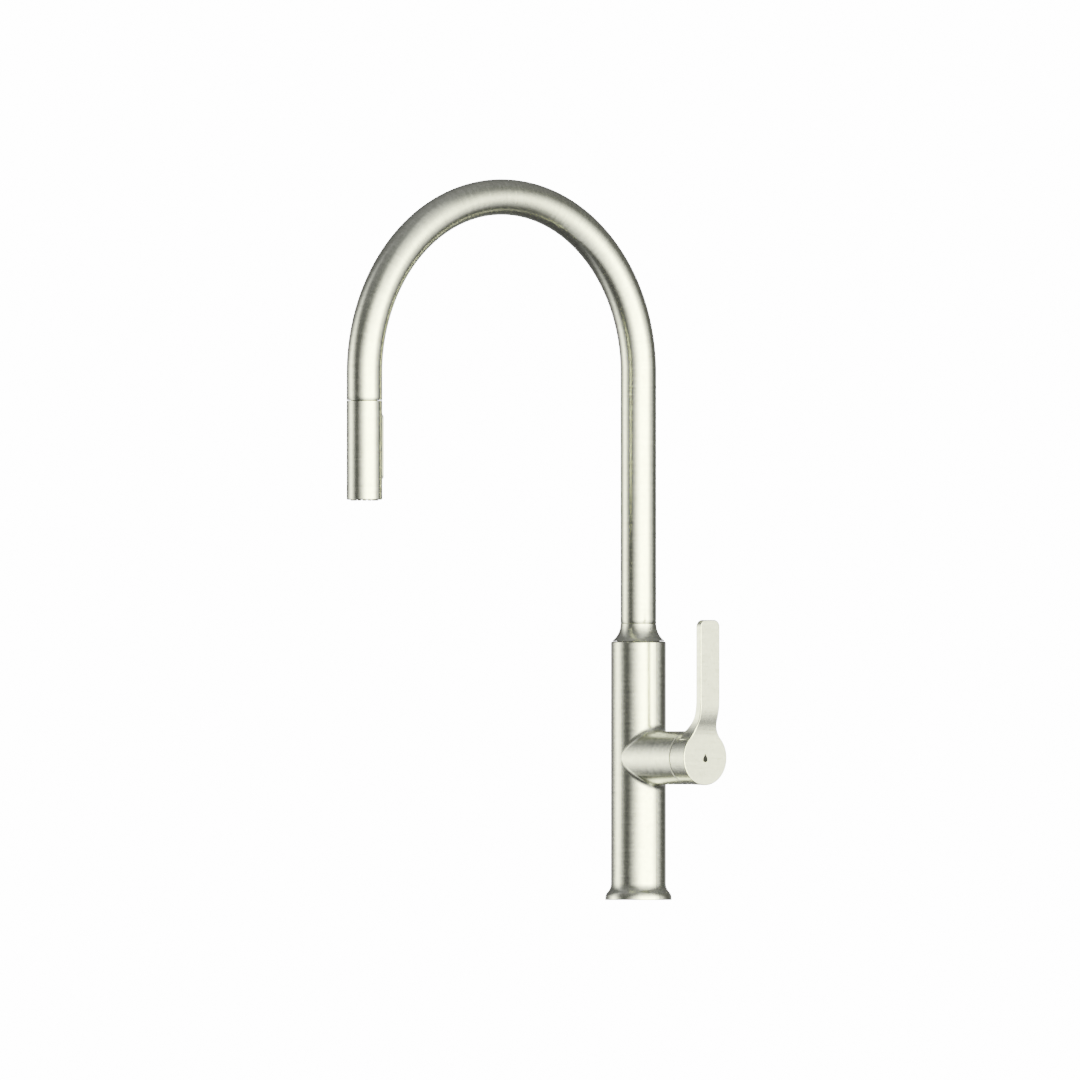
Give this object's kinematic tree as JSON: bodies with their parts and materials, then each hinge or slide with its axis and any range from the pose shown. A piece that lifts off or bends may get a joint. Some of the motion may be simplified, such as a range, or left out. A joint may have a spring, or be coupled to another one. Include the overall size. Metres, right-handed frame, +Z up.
{
  "type": "pull-down kitchen faucet",
  "caption": "High-arc pull-down kitchen faucet in brushed nickel: slim round body, side lever on a horizontal valve housing, gooseneck spout and a docked spray head with a rocker button.",
  "frame": {"origin": "centre of the body's underside, on the deck plane", "axes": "+Z up along the body, spout reaching toward -Y, valve housing and lever on the +X side"},
  "size_m": [0.0989, 0.2693, 0.4819],
  "materials": {
    "brushed_nickel": "brushed",
    "satin_trim": "satin",
    "brass": "machined",
    "steel": "machined",
    "zinc": "cast",
    "black_rubber": "matte",
    "grey_rubber": "matte",
    "white_plastic": "matte",
    "grey_plastic": "satin",
    "ceramic": "polished",
    "hose_braid": "woven nylon"
  },
  "bodies": {
    "body": {"body_shell": "brushed_nickel", "base_gasket": "black_rubber", "base_insert": "zinc", "waterway_core": "brass", "cartridge_base": "white_plastic", "cartridge_seals": "black_rubber", "cartridge_housing": "grey_plastic", "fixed_ceramic_disc": "ceramic", "cartridge_nut": "brass", "limit_ring": "grey_plastic", "dome_cap": "satin_trim", "glide_rings": "white_plastic", "thrust_washer": "black_rubber", "hose_lower": "hose_braid", "hose_coupling": "brass"},
    "temperature_guide": {"lever_guide": "white_plastic", "pivot_pin": "steel"},
    "mixing_disc": {"moving_ceramic_disc": "ceramic", "disc_carrier": "white_plastic"},
    "handle": {"handle": "brushed_nickel", "stem": "steel", "handle_set_screw": "steel"},
    "spout": {"spout_tube": "brushed_nickel", "spout_collar": "brushed_nickel", "friction_o_ring": "black_rubber", "retaining_clip": "steel", "dock_sleeve": "grey_plastic", "hose_arch": "hose_braid"},
    "hose_end": {"hose_pull_run": "hose_braid", "hose_ferrule": "steel", "hose_connector": "brass"},
    "spray_head": {"head_shell": "brushed_nickel", "head_neck": "grey_plastic", "inlet_washer": "grey_plastic", "check_valve": "grey_plastic", "head_waterway": "white_plastic", "inlet_seal": "black_rubber", "rocker_pin": "steel", "spray_face": "grey_plastic", "rubber_nozzles": "grey_rubber", "aerator_insert": "grey_plastic"},
    "rocker": {"rocker_button": "brushed_nickel"},
    "diverter": {"diverter_spool": "white_plastic", "spool_o_rings": "black_rubber"}
  },
  "joints": [
    {"name": "spout_swivel", "type": "hinge", "parent": "body", "child": "spout", "pos_m": [0, 0, 0.156], "axis": [0, 0, 1], "range_deg": [-180, 180]},
    {"name": "temperature_turn", "type": "hinge", "parent": "body", "child": "temperature_guide", "pos_m": [0.036, 0, 0.0951], "axis": [1, 0, 0], "range_deg": [-45, 45]},
    {"name": "lever_tilt", "type": "hinge", "parent": "temperature_guide", "child": "handle", "pos_m": [0.036, 0, 0.0951], "axis": [0, 1, 0], "range_deg": [0, 22]},
    {"name": "disc_slide", "type": "slide", "parent": "temperature_guide", "child": "mixing_disc", "axis": [0, 0, 1], "range_m": [0, 0.0027]},
    {"name": "spray_pull", "type": "slide", "parent": "spout", "child": "hose_end", "axis": [0, 0, -1], "range_m": [0, 0.25], "stiffness_N_per_m": 6, "springref_m": -1, "deforming": ["hose_pull_run"]},
    {"name": "head_spin", "type": "hinge", "parent": "hose_end", "child": "spray_head", "pos_m": [0, -0.235, 0.341], "axis": [0, 0, 1], "continuous": true},
    {"name": "rocker_tilt", "type": "hinge", "parent": "spray_head", "child": "rocker", "pos_m": [0, -0.2268, 0.303], "axis": [1, 0, 0], "range_deg": [-4, 4]},
    {"name": "spool_slide", "type": "slide", "parent": "spray_head", "child": "diverter", "axis": [0, 1, 0], "range_m": [-0.001, 0.001]}
  ],
  "couplings": [
    {"joint": "disc_slide", "follows": "lever_tilt", "m_per_rad": 0.006828},
    {"joint": "spool_slide", "follows": "rocker_tilt", "m_per_rad": 0.013}
  ]
}
